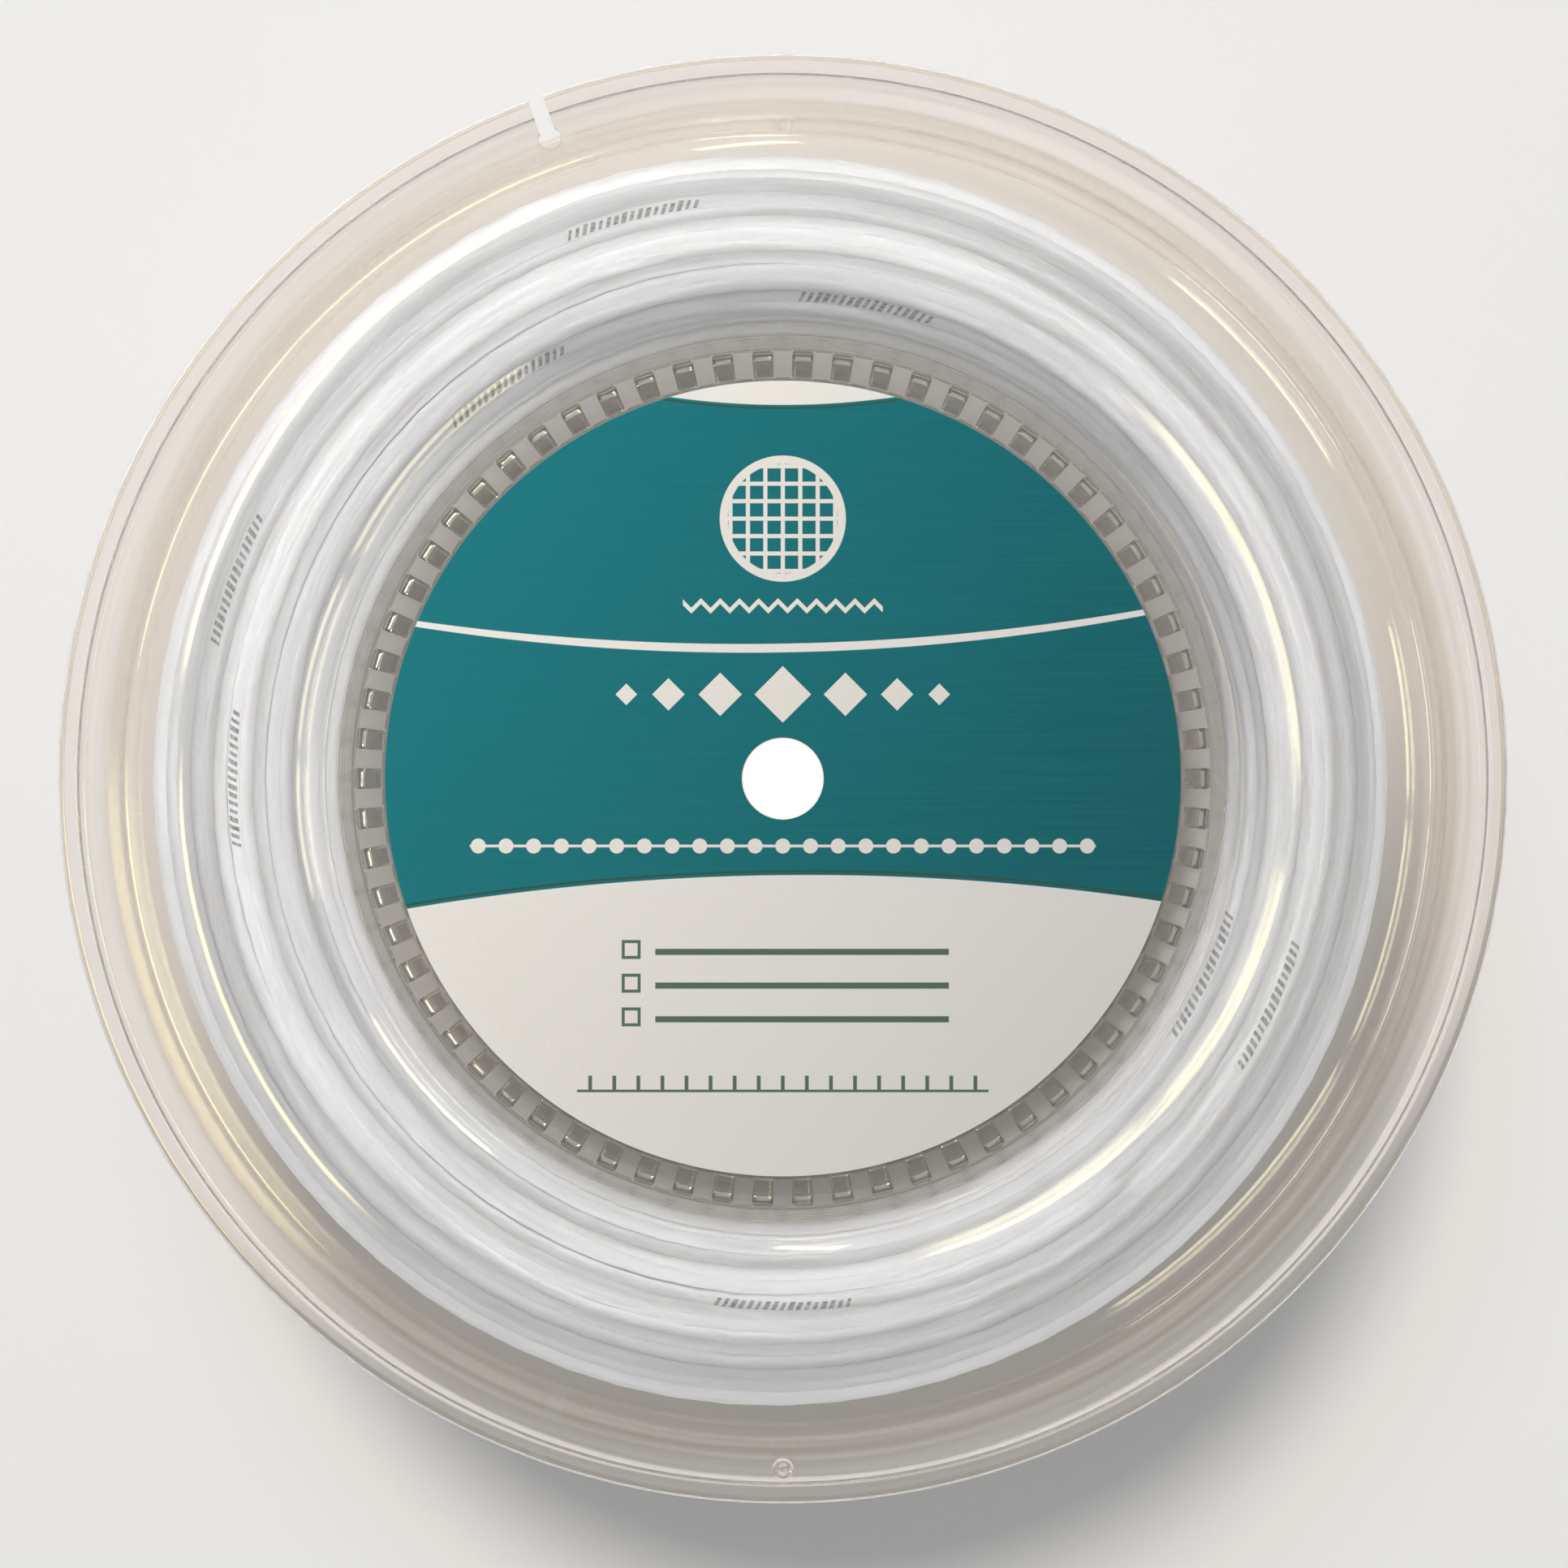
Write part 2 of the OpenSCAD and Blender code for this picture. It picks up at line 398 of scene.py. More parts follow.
def label_material():
    """Printed label: teal field over a cream foot, sagging cream stripe, plain ornaments, no lettering."""
    m = Mat("label_print")
    x, y, z = m.coords()
    where = m.vec(x, y, z)
    r2 = x * x + y * y
    r = r2.sqrt()

    def line(d, half):
        return (d.abs() - half).inside(0.06)

    # large fields
    foot_y = x * x * (-1 / 394.0) + x * 0.0106 - 8.02
    cream_foot = (y - foot_y).inside(0.06)
    rim_line = line(y - foot_y - 0.32, 0.09)
    stripe_y = x * x * 0.00272 + x * 0.0169 + 10.85
    stripe = ((y - stripe_y).abs() - (0.36 - x * x * 0.00012)).inside(0.06)
    cap_y = x * x * 0.0075 + 31.05
    cap = (cap_y - y).inside(0.06)
    cap_line = line(y - cap_y + 0.28, 0.08)

    # a round badge of woven string in the upper field
    bx, by = x, y - 21.6
    br = (bx * bx + by * by).sqrt()
    ring = line(br - 4.9, 0.34)
    gx = ((bx / 1.45 + 100.5).fract() - 0.5).abs() * 1.45
    gy = ((by / 1.45 + 100.5).fract() - 0.5).abs() * 1.45
    mesh = (gx - 0.17).inside(0.06).max((gy - 0.17).inside(0.06)) * (br - 4.7).inside(0.06)
    # a row of diamonds above the hole, and a small zigzag under the badge
    dx = x.abs()
    d0 = (dx + (y - 7.0).abs() - 2.35)
    d1 = ((dx - 5.2).abs() + (y - 7.0).abs() - 1.8)
    d2 = ((dx - 9.5).abs() + (y - 7.0).abs() - 1.35)
    d3 = ((dx - 13.0).abs() + (y - 7.0).abs() - 0.9)
    row = d0.min(d1).min(d2).min(d3).inside(0.06)
    wave = ((x / 1.6 + 100.25).fract() - 0.5).abs() * 1.6 - 0.4
    zigzag = line(y - 14.35 - wave, 0.24) * (dx - 8.3).inside(0.06)
    # a chain of beads below the hole
    cx = ((x / 2.3 + 100.5).fract() - 0.5) * 2.3
    bead = (cx * cx + (y + 5.6) * (y + 5.6)).sqrt() - 0.62
    pale_link = line(y + 5.6, 0.11)
    chain = bead.inside(0.06).max(pale_link) * (dx - 26.0).inside(0.06)
    cream_art = ring.max(mesh).max(row).max(chain).max(zigzag)

    # plain ruled lines and boxes on the foot
    inks = None
    for yy, half in ((-14.2, 12.2), (-17.0, 12.2), (-19.8, 12.2)):
        rule = line(y - yy + 0.2, 0.26) * ((x - 1.6).abs() - half).inside(0.06)
        box = ((x + 12.6).abs().max((y - yy).abs()) - 0.66)
        frame_line = (box.abs() - 0.13).inside(0.06)
        part = rule.max(frame_line)
        inks = part if inks is None else inks.max(part)
    tick = ((x / 2.0 + 100.5).fract() - 0.5).abs() * 2.0
    ticks = (tick - 0.16).inside(0.06) * ((y + 25.3).abs() - 0.62).inside(0.06) * (dx - 17.1).inside(0.06)
    inks = inks.max(ticks).max(line(y + 25.95, 0.11) * (dx - 17.1).inside(0.06))

    # colours; teal and cream are painted lighter at the upper left and darker towards the lower right, as painted light
    # and shade
    painted_light_falloff = (x * 0.6 - y * 0.25).range(-28.0, 30.0)
    teal = m.mix(painted_light_falloff, (0.005, 0.212, 0.252), (0.004, 0.092, 0.108))
    brushed = m.noise(m.vec(x * 0.06, y * 3.2, 0.0), 1.0, 4.0, 0.6)
    teal = m.mix(brushed.range(0.3, 0.75, 0.0, 0.35), teal, (0.010, 0.225, 0.24))
    fleck = m.noise(where, 7.5, 2.0, 0.6).range(0.66, 0.74)
    teal = m.mix(fleck * 0.22, teal, (0.06, 0.42, 0.40))
    # the cream runs from near white at the upper left to grey at the right: painted shade, not the paper's own colour
    cream = m.mix(painted_light_falloff, (0.99, 0.95, 0.865), (0.70, 0.675, 0.65))
    fibre = m.noise(m.vec(x * 1.1, y * 0.9, 0.0), 3.0, 5.0, 0.65)
    cream = m.mix(fibre.range(0.35, 0.7, 0.0, 0.25), cream, (0.76, 0.715, 0.65))
    green = (0.020, 0.085, 0.055)

    is_cream = cream_foot.max(cap).max(stripe)
    colour = m.mix(is_cream, teal, cream)
    colour = m.mix(cream_art * (1.0 - is_cream), colour, cream)
    colour = m.mix(rim_line.max(cap_line), colour, (0.035, 0.10, 0.07))
    colour = m.mix(inks * cream_foot * 0.9, colour, green)
    # bare paper at the cut edges
    edge = (r - (LABEL_R - 0.05)).inside(0.04)
    colour = m.mix(edge, (0.22, 0.27, 0.24), colour)
    m.set(Base_Color=colour)
    m.set(Roughness=0.34 + fibre * 0.08 + is_cream * 0.12)
    m.set(Metallic=(1.0 - is_cream) * 0.12 * edge)
    m.set(Specular_IOR_Level=0.22)
    m.bump(fibre * 0.5 + brushed * 0.25, strength=0.18, distance=0.00005)
    return m.mat


def floor_material():
    m = Mat("pale_floor")
    x, y, z = m.coords()
    grain = m.noise(m.vec(x, y, z), 0.02, 4.0, 0.5)
    m.set(Base_Color=m.mix(grain, (0.86, 0.85, 0.835), (0.89, 0.88, 0.865)), Roughness=0.75)
    m.set(Specular_IOR_Level=0.2)
    # the lamp's light fades far out, and the floor makes up for it
    far = (x * x + y * y).sqrt()
    m.set(Emission_Color=(1.0, 0.99, 0.975, 1.0), Emission_Strength=far.range(300.0, 2300.0, 0.0, 0.31))
    return m.mat


def backdrop_material():
    m = Mat("pale_backdrop")
    x, y, z = m.coords()
    cloud = m.noise(m.vec(x, y, z), 0.001, 3.0, 0.5)
    m.set(Base_Color=(0.0, 0.0, 0.0, 1.0), Specular_IOR_Level=0.0)
    m.set(Emission_Color=m.mix(cloud, (0.98, 0.975, 0.965), (1.0, 0.99, 0.98)), Emission_Strength=z.range(0.0, 900.0, 0.785, 0.82))
    return m.mat


MATS = {
    "front": clear_plastic("clear_flange_front", (0.982, 0.974, 0.962), 0.015, (0.970, 0.963, 0.954), milk=0.09),
    "lip": clear_plastic("clear_flange_lip", (0.98, 0.955, 0.92), 0.02, (0.96, 0.94, 0.91), milk=0.08),
    "rear": clear_plastic("clear_flange_rear", (0.985, 0.958, 0.92), 0.03, (0.96, 0.94, 0.915), milk=0.08),
    "rim": clear_plastic("clear_flange_rim", (0.98, 0.955, 0.92), 0.02, (0.96, 0.94, 0.91), milk=0.17, streaks=True),
    "web": clear_plastic("clear_flange_web", (0.97, 0.95, 0.92), 0.05, (0.93, 0.915, 0.89), swirl=0.8, scuffs=1.0, milk=0.34),
    "core": clear_plastic("clear_core", (0.96, 0.945, 0.92), 0.03, (0.90, 0.89, 0.87), swirl=0.5, scuffs=0.8, milk=0.26),
    "string": string_material(),
    "label": label_material(),
}

# ---------------------------------------------------------------- mesh helpers


def arc(cx, cy, r, a0, a1, n, skip_first=False):
    pts = [(cx + r * cos(a0 + (a1 - a0) * i / n), cy + r * sin(a0 + (a1 - a0) * i / n)) for i in range(n + 1)]
    return pts[1:] if skip_first else pts


def finish_mesh(obj, sharp=32.0):
    me = obj.data
    me.shade_smooth()
    me.set_sharp_from_angle(angle=math.radians(sharp))
    return obj


def new_object(name, me, material):
    obj = bpy.data.objects.new(name, me)
    bpy.context.scene.collection.objects.link(obj)
    me.materials.clear()
    me.materials.append(material)
    return obj


def apply_cut(obj, cutter):
    """Takes cutter away from obj, then removes cutter."""
    mod = obj.modifiers.new("cut", "BOOLEAN")
    mod.operation, mod.solver, mod.object = "DIFFERENCE", "EXACT", cutter
    dg = bpy.context.evaluated_depsgraph_get()
    me = bpy.data.meshes.new_from_object(obj.evaluated_get(dg))
    obj.modifiers.clear()
    old = obj.data
    obj.data = me
    bpy.data.meshes.remove(old)
    bpy.data.objects.remove(cutter)


def columns(share, offset, on, off):
    """Column angles around the axis, with a flag for each column: True inside a tooth or rib."""
    pitch = 360.0 / TEETH
    angles, flags = [], []
    for i in range(TEETH):
        a = i * pitch + offset - share * pitch / 2
        for k in range(on):
            angles.append(a + share * pitch * k / on)
            flags.append(True)
        a += share * pitch
        for k in range(off):
            angles.append(a + (1 - share) * pitch * k / off)
            flags.append(False)
    return angles, flags


def toothed_lathe(loop, seg, tooth, angles, flags, bevel):
    """Turns loop, a closed list of (r, z), about Z. In flagged columns the stretch from loop[seg] to loop[seg + 1] is
    replaced by the path tooth, which makes teeth or ribs; their long edges are rounded by bevel mm."""
    bm = bmesh.new()
    n, c = len(loop), len(angles)
    cs = [(cos(a), sin(a)) for a in angles]
    grid = [[bm.verts.new((r * x * MM, r * y * MM, z * MM)) for x, y in cs] for r, z in loop]
    soft = []
    for j in range(n):
        k = (j + 1) % n
        for i in range(c):
            if j == seg and flags[i]:
                continue
            m = (i + 1) % c
            bm.faces.new((grid[j][i], grid[k][i], grid[k][m], grid[j][m]))
    path = [loop[seg], *tooth, loop[seg + 1]]
    made = {}

    def column_of(i):
        i %= c
        if i not in made:
            x, y = cs[i]
            made[i] = [grid[seg][i]] + [bm.verts.new((r * x * MM, r * y * MM, z * MM)) for r, z in tooth] + [grid[seg + 1][i]]
        return made[i]

    for i in range(c):
        if not flags[i]:
            continue
        a, b = column_of(i), column_of(i + 1)
        for k in range(len(path) - 1):
            bm.faces.new((a[k], a[k + 1], b[k + 1], b[k]))
        if not flags[i - 1]:
            cap = bm.faces.new(list(reversed(a)))
            soft += [e for e in cap.edges if not (e.verts[0] in (a[0], a[-1]) and e.verts[1] in (a[0], a[-1]))]
        if not flags[(i + 1) % c]:
            cap = bm.faces.new(b)
            soft += [e for e in cap.edges if not (e.verts[0] in (b[0], b[-1]) and e.verts[1] in (b[0], b[-1]))]
    if bevel:
        bmesh.ops.bevel(bm, geom=list(dict.fromkeys(soft)), offset=bevel * MM, segments=2, affect="EDGES", profile=0.5,
                        clamp_overlap=True)
    bmesh.ops.recalc_face_normals(bm, faces=bm.faces)
    me = bpy.data.meshes.new("lathe")
    bm.to_mesh(me)
    bm.free()
    return me


def lathe(loop, segments=192, closed=True):
    """Turns a closed (r, z) loop about Z."""
    bm = bmesh.new()
    rings = [[bm.verts.new((r * cos(360 * i / segments) * MM, r * sin(360 * i / segments) * MM, z * MM))
              for i in range(segments)] for r, z in loop]
    for j in range(len(loop) if closed else len(loop) - 1):
        k = (j + 1) % len(loop)
        for i in range(segments):
            m = (i + 1) % segments
            bm.faces.new((rings[j][i], rings[k][i], rings[k][m], rings[j][m]))
    me = bpy.data.meshes.new("lathe")
    bm.to_mesh(me)
    bm.free()
    return me


def tube(name, points, radius, sides=8, close_ends=True, material=None, radii=None):
    """A round tube along points (mm), with parallel-carried rings; it also gives the distance along in metres, for a UV
    map.
    """
    p = np.array(points, float)
    t = np.gradient(p, axis=0)
    t /= np.linalg.norm(t, axis=1)[:, None]
    n = len(p)
    normal = np.zeros_like(p)
    ref = np.array([0.0, 0.0, 1.0]) if abs(t[0][2]) < 0.8 else np.array([1.0, 0.0, 0.0])
    v = ref - t[0] * ref.dot(t[0])
    normal[0] = v / np.linalg.norm(v)
    for i in range(1, n):
        v = normal[i - 1] - t[i] * normal[i - 1].dot(t[i])
        normal[i] = v / np.linalg.norm(v)
    other = np.cross(t, normal)
    rad = np.full(n, radius) if radii is None else np.array(radii)
    ang = np.arange(sides) * 2 * math.pi / sides
    ring = (p[:, None, :] + rad[:, None, None] * (np.cos(ang)[None, :, None] * normal[:, None, :]
                                                  + np.sin(ang)[None, :, None] * other[:, None, :]))
    verts = ring.reshape(-1, 3) * MM
    i = np.arange(n - 1)[:, None]
    k = np.arange(sides)[None, :]
    a = i * sides + k
    b = i * sides + (k + 1) % sides
    quads = np.stack([a, b, b + sides, a + sides], axis=-1).reshape(-1, 4)
    dist = np.concatenate([[0], np.cumsum(np.linalg.norm(np.diff(p, axis=0), axis=1))]) * MM
    return verts, quads, dist


def quad_mesh(name, verts, quads, u_at, sides, marks=None):
    me = bpy.data.meshes.new(name)
    me.vertices.add(len(verts))
    me.vertices.foreach_set("co", verts.astype(np.float32).ravel())
    me.loops.add(len(quads) * 4)
    me.loops.foreach_set("vertex_index", quads.astype(np.int32).ravel())
    me.polygons.add(len(quads))
    me.polygons.foreach_set("loop_start", (np.arange(len(quads)) * 4).astype(np.int32))
    me.update(calc_edges=True)
    uv = me.uv_layers.new(name="StringUV")
    seg = np.arange(len(quads)) // sides
    k = np.arange(len(quads)) % sides
    coords = np.zeros((len(quads), 4, 2), np.float32)
    coords[:, 0, 0] = coords[:, 1, 0] = u_at[seg]
    coords[:, 2, 0] = coords[:, 3, 0] = u_at[seg + 1]
    coords[:, 0, 1] = coords[:, 3, 1] = k / sides
    coords[:, 1, 1] = coords[:, 2, 1] = (k + 1) / sides
    uv.data.foreach_set("uv", coords.ravel())
    # distance along the string to the nearest printed mark in metres, and the side of the string it is on
    mark = np.full((len(quads), 4, 2), 0.1, np.float32)
    if marks is not None:
        off, side = marks
        a, b = off[seg].copy(), off[seg + 1].copy()
        between = (np.sign(a) != np.sign(b)) & (np.minimum(np.abs(a), np.abs(b)) > 0.01)   # half way between two marks
        a[between] = b[between] = 0.1
        mark[:, 0, 0] = mark[:, 1, 0] = a
        mark[:, 2, 0] = mark[:, 3, 0] = b
        mark[:, :, 1] = side[seg][:, None]
    me.uv_layers.new(name="MarkUV").data.foreach_set("uv", mark.ravel())
    me.shade_smooth()
    me.validate()
    return me


# ---------------------------------------------------------------- flanges


def flange_loop():
    """The closed section of a flange, rim plane at z = 0 and the spool below it, and the index of its toothed stretch."""
    top = [(BORE_R, -SEAT_DROP), (14.0, -SEAT_DROP), (25.0, -SEAT_DROP), (SEAT_END, -SEAT_DROP)]
    top += arc(SEAT_END, -SEAT_DROP + FOOT_R, FOOT_R, -90, -90 + IN_A, 6, True)
    top += arc(CROWN_IN, -CROWN_DROP - IN_R, IN_R, 90 + IN_A, 90, 24, True)
    top += [(CROWN_OUT, -CROWN_DROP)]
    top += arc(CROWN_OUT, -CROWN_DROP - OUT_R, OUT_R, 90, 90 - OUT_A, 18, True)
    top += arc(BAND_IN, -BAND_DROP + BAND_R, BAND_R, -90 - OUT_A, -90, 8, True)
    rim = arc(LIP_IN - FOOT, -BAND_DROP + FOOT, FOOT, -90, 0, 6)
    rim += arc(LIP_IN + EDGE, -EDGE, EDGE, 180, 90, 6)
    rim += arc(FLANGE_R - EDGE, -EDGE, EDGE, 90, 0, 6)
    rim += arc(FLANGE_R - EDGE, -BAND_DROP - WALL + EDGE, EDGE, 0, -90, 6)
    under = [(r, z - WALL) for r, z in reversed(top) if r >= SEAT_END]
    hub = [(TIP_R, -SEAT_LOW), (ROOT_R, -SEAT_LOW), (20.0, -SEAT_LOW)]
    hub += [(BOSS_R + 0.5 - 0.5 * sin(a), -SEAT_LOW - 0.5 + 0.5 * cos(a)) for a in (0, 30, 60, 90)]
    hub += arc(BOSS_R - 0.4, -SEAT_DROP - BOSS_LEN + 0.4, 0.4, 0, -90, 4)
    hub += [(BORE_R, -SEAT_DROP - BOSS_LEN)]
    loop = top + rim + under + hub
    return loop, len(top) + len(rim) + len(under)


def make_flange(name, flip, material):
    loop, seg = flange_loop()
    low = -SEAT_LOW - TOOTH_LEN
    tooth = [(TIP_R, low + 0.7), (TIP_R - 0.15, low + 0.35), (TIP_R - 0.5, low), (ROOT_R + 0.3, low), (ROOT_R, low + 0.3)]
    angles, flags = columns(TOOTH_SHARE, 0.0, 4, 4)
    me = toothed_lathe(loop, seg, tooth, angles, flags, 0.16)
    obj = new_object(name, me, material)
    # the slot in the rim, with its round end
    bm = bmesh.new()
    half, end = SLOT_W / 2, SLOT_W / 2 + 0.3
    a0 = math.degrees(math.asin(half / end))
    inner = FLANGE_R - 3.4
    outline = [(FLANGE_R + 2, half)] + [(inner + end * cos(a), end * sin(a)) for a in np.linspace(a0, 360 - a0, 22)]
    outline += [(FLANGE_R + 2, -half)]
    turn = Matrix.Rotation(math.radians(SLOT_ANGLE), 4, "Z")
    lo_ring = [bm.verts.new(turn @ Vector((x * MM, y * MM, -8 * MM))) for x, y in outline]
    hi_ring = [bm.verts.new(turn @ Vector((x * MM, y * MM, 2 * MM))) for x, y in outline]
    k = len(outline)
    for i in range(k):
        j = (i + 1) % k
        bm.faces.new((lo_ring[i], lo_ring[j], hi_ring[j], hi_ring[i]))
    bm.faces.new(list(reversed(lo_ring)))
    bm.faces.new(hi_ring)
    bmesh.ops.recalc_face_normals(bm, faces=bm.faces)
    cm = bpy.data.meshes.new("slot")
    bm.to_mesh(cm)
    bm.free()
    apply_cut(obj, new_object("slot_cutter", cm, material))
    # the moulding gate's pip, low on the outer band, with a dimple in its middle
    pip_loop = [(0.0, 0.02), (0.28, 0.06), (0.42, 0.22), (0.58, 0.30), (0.74, 0.24), (0.86, 0.06), (1.0, -0.12)]
    bm = bmesh.new()
    steps = 28
    px, py = 0.0, -(FLANGE_R - 2.7)
    centre = bm.verts.new((px * MM, py * MM, (-BAND_DROP + pip_loop[0][1]) * MM))
    rings = [[bm.verts.new(((px + r * cos(360 * i / steps)) * MM, (py + r * sin(360 * i / steps)) * MM, (-BAND_DROP + z) * MM))
              for i in range(steps)] for r, z in pip_loop[1:]]
    for i in range(steps):
        j = (i + 1) % steps
        bm.faces.new((centre, rings[0][i], rings[0][j]))
        for a, b in zip(rings, rings[1:]):
            bm.faces.new((a[i], b[i], b[j], a[j]))
    bottom = bm.faces.new([rings[-1][i] for i in reversed(range(steps))])
    pm = bpy.data.meshes.new("pip")
    bm.to_mesh(pm)
    bm.free()
    pip = new_object(name + "_pip", pm, material)
    mod = obj.modifiers.new("join", "BOOLEAN")
    mod.operation, mod.solver, mod.object = "UNION", "EXACT", pip
    dg = bpy.context.evaluated_depsgraph_get()
    joined = bpy.data.meshes.new_from_object(obj.evaluated_get(dg))
    obj.modifiers.clear()
    obj.data = joined
    bpy.data.objects.remove(pip)
    # the web between the teeth has a frosted finish, the band outside the winding a streaky one, and the lip a finish
    # of its own
    obj.data.materials.append(MATS["web"])
    obj.data.materials.append(MATS["rim"])
    obj.data.materials.append(MATS["lip"])
    for f in obj.data.polygons:
        c = f.center
        rr = math.hypot(c.x, c.y) / MM
        if abs(c.z / MM + SEAT_LOW) < 0.02 and ROOT_R - 0.1 < rr < TIP_R + 0.1:
            f.material_index = 1
        elif rr > LIP_IN - 0.05:
            f.material_index = 3
        elif rr > SLOPE_END - 0.1:
            f.material_index = 2
    if flip:
        obj.data.transform(Matrix.Rotation(math.pi, 4, "X"))
    else:
        obj.data.transform(Matrix.Translation((0, 0, REEL_W * MM)))
    return finish_mesh(obj)


front = make_flange("front_flange_moulding", False, MATS["front"])
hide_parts("front_flange")
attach(front, "front")

rear = make_flange("rear_flange_moulding", True, MATS["rear"])
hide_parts("rear_flange")
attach(rear, "rear")

# ---------------------------------------------------------------- core tube


def make_core():
    lo, hi = SEAT_LOW + 0.03, REEL_W - SEAT_LOW - 0.03
    loop = [(CORE_IN + 0.3, hi), (CORE_R - 0.08, hi), (CORE_R, hi - 0.08), (CORE_R, lo + 0.08), (CORE_R - 0.08, lo),
            (CORE_IN + 0.3, lo), (CORE_IN, lo + 0.3), (CORE_IN, lo + 0.7), (CORE_IN, hi - 0.7), (CORE_IN, hi - 0.3)]
    rib = [(CORE_IN - RIB_H * 0.7, lo + 1.1), (CORE_IN - RIB_H, lo + 1.5), (CORE_IN - RIB_H, hi - 1.5), (CORE_IN - RIB_H * 0.7, hi - 1.1)]
    angles, flags = columns(RIB_SHARE, 360.0 / TEETH / 2, 3, 5)
    me = toothed_lathe(loop, 7, rib, angles, flags, 0.12)
    obj = new_object("core_tube", me, MATS["core"])
    z0 = (knot_hi[2] + knot_lo[2]) / 2
    z0 = round(knot_hi[2] - STRING_D * 1.2, 2)
    bm = bmesh.new()
    k = 24
    rings = [[bm.verts.new((x * MM, (STRING_D / 2 + 0.2) * cos(360 * i / k) * MM, (z0 + (STRING_D / 2 + 0.2) * sin(360 * i / k)) * MM))
              for i in range(k)] for x in (CORE_IN - 2, CORE_R + 2)]
    for i in range(k):
        j = (i + 1) % k
        bm.faces.new((rings[0][i], rings[0][j], rings[1][j], rings[1][i]))
    bm.faces.new(list(reversed(rings[0])))
    bm.faces.new(rings[1])
    bmesh.ops.recalc_face_normals(bm, faces=bm.faces)
    cm = bpy.data.meshes.new("hole")
    bm.to_mesh(cm)
    bm.free()
    apply_cut(obj, new_object("hole_cutter", cm, MATS["core"]))
    return finish_mesh(obj), z0


core, HOLE_Z = make_core()
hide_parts("hub_core")
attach(core, "core")

# ---------------------------------------------------------------- the wound string


def winding_path():
    """The string's route in cylinder coordinates (r, turn angle in degrees, z), layer on layer, at its real length."""
    rad = STRING_D / 2
    r0, r1, layers = CORE_R + 0.03 + rad, WIND_R - rad - 0.06, 15
    rows = np.linspace(r0, r1, layers)
    rows[1:-1] += 0.13 * np.sin(np.arange(1, layers - 1) * 2.3)
    step = 5.0

    def ends(r):
        low = max(drop(min(r + d, 99)) for d in (-rad, 0, rad)) + WALL + 0.30 + rad + 0.02
        low += 0.0 if r < r1 - 1.6 else 0.5 if r < r1 - 0.5 else 1.9      # the last layers stop short
        return low, REEL_W - low

    def lay(pitch):
        pts = []
        angle = 0.0
        low, high = ends(rows[0])
        # from the hole to the lower end
        k = int(300 / step)
        for i in range(k):
            f = i / k
            f = f * f * (3 - 2 * f)
            pts.append((rows[0], angle, HOLE_Z + (low - HOLE_Z) * f))
            angle += step
        z = low
        up = True
        marks = []
        for n, r in enumerate(rows):
            low, high = ends(r)
            marks.append(len(pts))
            goal = high if up else low
            # a level turn at each end, with steady turns between them
            if n:
                for i in range(int(290 / step)):
                    pts.append((r, angle, z))
                    angle += step
            turns = abs(goal - z) / pitch
            k = max(1, int(round(turns * 360 / step)))
            z_from = z
            for i in range(k):
                pts.append((r, angle, z_from + (goal - z_from) * i / k))
                angle += step
            k = int(250 / step)
            for i in range(k):
                pts.append((r, angle, goal))
                angle += step
            z = goal
            if n + 1 < layers:
                nlow, nhigh = ends(rows[n + 1])
                z_next = nhigh if up else nlow
                k = int(60 / step)
                for i in range(k):
                    f = i / k
                    f = f * f * (3 - 2 * f)
                    pts.append((r + (rows[n + 1] - r) * f, angle, z + (z_next - z) * f))
                    angle += step
                z = z_next
            up = not up
        return np.array(pts), marks

    def length(pts, marks):
        r, a, z = uneven(pts, marks)
        a = np.radians(a)
        xyz = np.stack([r * np.cos(a), r * np.sin(a), z], axis=1)
        return np.linalg.norm(np.diff(xyz, axis=0), axis=1).sum()

    lo_p, hi_p = 1.05, 1.9
    for _ in range(24):
        mid = (lo_p + hi_p) / 2
        if length(*lay(mid)) > STRING_LEN - 55:
            lo_p = mid
        else:
            hi_p = mid
    pts, marks = lay((lo_p + hi_p) / 2)
    return pts, marks, (lo_p + hi_p) / 2


def uneven(pts, marks):
    """Hand-fed unevenness: slow and fast wander, a winding heavier towards one side, and first layers that stop short of
    the front flange, most on one side. Never nearer to the flanges."""
    r, a, z = pts[:, 0].copy(), pts[:, 1], pts[:, 2].copy()
    turn = a / 360.0
    layer = np.searchsorted(np.array(marks), np.arange(len(pts)), side="right")
    ph = np.modf(np.sin(layer * 12.9898) * 43758.5453)[0] * 6.283
    r += 0.05 * np.sin(turn * 6.283 * 0.37 + ph) + 0.02 * np.sin(turn * 6.283 * 2.71 + ph * 2) - 0.06
    share = np.clip((r - CORE_R - 2) / (WIND_R - CORE_R - 2), 0, 1)
    lean = 0.30 + 1.75 * np.cos(np.radians(a - 8.0))
    r -= share * (lean + np.sqrt(lean * lean + 0.16)) / 2
    side = 0.12 + 0.88 * (0.5 + 0.5 * np.cos(np.radians(a - 42.0)))
    dip = 2.3 * side * np.clip((39.9 - pts[:, 0]) / 2.3, 0, 1) ** 1.3
    upper = np.clip((z - REEL_W / 2) / 17.0, 0, 1)
    z -= dip * upper
    inward = np.where(z > REEL_W / 2, -1.0, 1.0)
    z += inward * (0.07 + 0.06 * np.sin(turn * 6.283 * 0.53 + ph * 3) + 0.02 * np.sin(turn * 6.283 * 1.93 + ph) + 0.04)
    return r, a, z


# radius in mm and direction in degrees of the printed marks that show through the front flange
SEEN_MARKS = ((49.4, 106.5), (48.9, 158.0), (45.4, 179.5), (39.6, 82.0), (38.7, 127.0), (43.4, 270.0), (44.4, 337.0), (38.7, 335.5))


